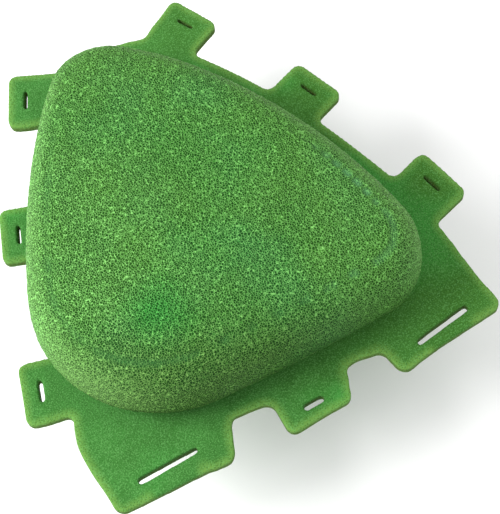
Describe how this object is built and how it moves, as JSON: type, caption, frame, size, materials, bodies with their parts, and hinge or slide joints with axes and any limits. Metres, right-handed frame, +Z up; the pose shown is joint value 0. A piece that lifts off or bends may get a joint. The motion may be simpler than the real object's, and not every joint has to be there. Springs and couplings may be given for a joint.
{
  "type": "foam air filter element",
  "caption": "Two-stage foam air filter element: a coarse domed pad on a slotted flat sheet whose tabs hook over the pegs of its support frame.",
  "frame": {"origin": "under the middle of the element, on the underside of the flat sheet", "axes": "+X across the element, +Y from the straight edge to the apex, +Z up through the dome"},
  "size_m": [0.2822, 0.2874, 0.0564],
  "materials": {
    "coarse_foam": "open-cell reticulated foam, coarse pores, dull",
    "fine_foam_sheet": "fine-cell foam, smooth cut faces, dull",
    "fine_foam_inner": "fine-cell foam, dull",
    "soft_glue": "thin flexible glue line"
  },
  "bodies": {
    "element": {"rear_fold_right": "fine_foam_sheet", "rear_fold_left": "fine_foam_sheet", "middle_fold_right": "fine_foam_sheet", "middle_fold_left": "fine_foam_sheet", "front_fold_right": "fine_foam_sheet", "front_fold_left": "fine_foam_sheet", "corner_fold_right": "fine_foam_sheet", "corner_fold_left": "fine_foam_sheet", "centre_fold": "fine_foam_sheet", "flange_sheet": "fine_foam_sheet", "foot_glue_line": "soft_glue", "outer_side_wall": "coarse_foam", "outer_top_panel": "coarse_foam", "outer_crown_glue": "soft_glue", "outer_wall_joint_glue": "soft_glue", "inner_side_wall": "fine_foam_inner", "inner_top_panel": "fine_foam_inner", "inner_crown_glue": "soft_glue", "inner_wall_joint_glue": "soft_glue"},
    "rear_tab_right": {"rear_tab_right": "fine_foam_sheet"},
    "rear_tab_left": {"rear_tab_left": "fine_foam_sheet"},
    "middle_tab_right": {"middle_tab_right": "fine_foam_sheet"},
    "middle_tab_left": {"middle_tab_left": "fine_foam_sheet"},
    "front_tab_right": {"front_tab_right": "fine_foam_sheet"},
    "front_tab_left": {"front_tab_left": "fine_foam_sheet"},
    "corner_tab_right": {"corner_tab_right": "fine_foam_sheet"},
    "corner_tab_left": {"corner_tab_left": "fine_foam_sheet"},
    "centre_tab": {"centre_tab": "fine_foam_sheet"}
  },
  "joints": [
    {"name": "rear_tab_right_flex", "type": "hinge", "parent": "element", "child": "rear_tab_right", "pos_m": [0.04777, 0.12083, 0.003], "axis": [0.421, -0.907, 0], "range_deg": [-60, 30], "stiffness_Nm_per_rad": 0.03, "deforming": ["rear_fold_right"]},
    {"name": "rear_tab_left_flex", "type": "hinge", "parent": "element", "child": "rear_tab_left", "pos_m": [-0.04777, 0.12083, 0.003], "axis": [0.421, 0.907, 0], "range_deg": [-60, 30], "stiffness_Nm_per_rad": 0.03, "deforming": ["rear_fold_left"]},
    {"name": "middle_tab_right_flex", "type": "hinge", "parent": "element", "child": "middle_tab_right", "pos_m": [0.08971, 0.03841, 0.003], "axis": [0.3355, -0.9421, 0], "range_deg": [-60, 30], "stiffness_Nm_per_rad": 0.03, "deforming": ["middle_fold_right"]},
    {"name": "middle_tab_left_flex", "type": "hinge", "parent": "element", "child": "middle_tab_left", "pos_m": [-0.08971, 0.03841, 0.003], "axis": [0.3355, 0.9421, 0], "range_deg": [-60, 30], "stiffness_Nm_per_rad": 0.03, "deforming": ["middle_fold_left"]},
    {"name": "front_tab_right_flex", "type": "hinge", "parent": "element", "child": "front_tab_right", "pos_m": [0.11867, -0.05563, 0.003], "axis": [0.2622, -0.965, 0], "range_deg": [-60, 30], "stiffness_Nm_per_rad": 0.03, "deforming": ["front_fold_right"]},
    {"name": "front_tab_left_flex", "type": "hinge", "parent": "element", "child": "front_tab_left", "pos_m": [-0.11867, -0.05563, 0.003], "axis": [0.2622, 0.965, 0], "range_deg": [-60, 30], "stiffness_Nm_per_rad": 0.03, "deforming": ["front_fold_left"]},
    {"name": "corner_tab_right_flex", "type": "hinge", "parent": "element", "child": "corner_tab_right", "pos_m": [0.08477, -0.12363, 0.003], "axis": [-0.9976, -0.0698, 0], "range_deg": [-60, 30], "stiffness_Nm_per_rad": 0.06, "deforming": ["corner_fold_right"]},
    {"name": "corner_tab_left_flex", "type": "hinge", "parent": "element", "child": "corner_tab_left", "pos_m": [-0.08477, -0.12363, 0.003], "axis": [-0.9976, 0.0698, 0], "range_deg": [-60, 30], "stiffness_Nm_per_rad": 0.06, "deforming": ["corner_fold_left"]},
    {"name": "centre_tab_flex", "type": "hinge", "parent": "element", "child": "centre_tab", "pos_m": [0, -0.12843, 0.003], "axis": [-1, 0, 0], "range_deg": [-60, 30], "stiffness_Nm_per_rad": 0.03, "deforming": ["centre_fold"]}
  ]
}
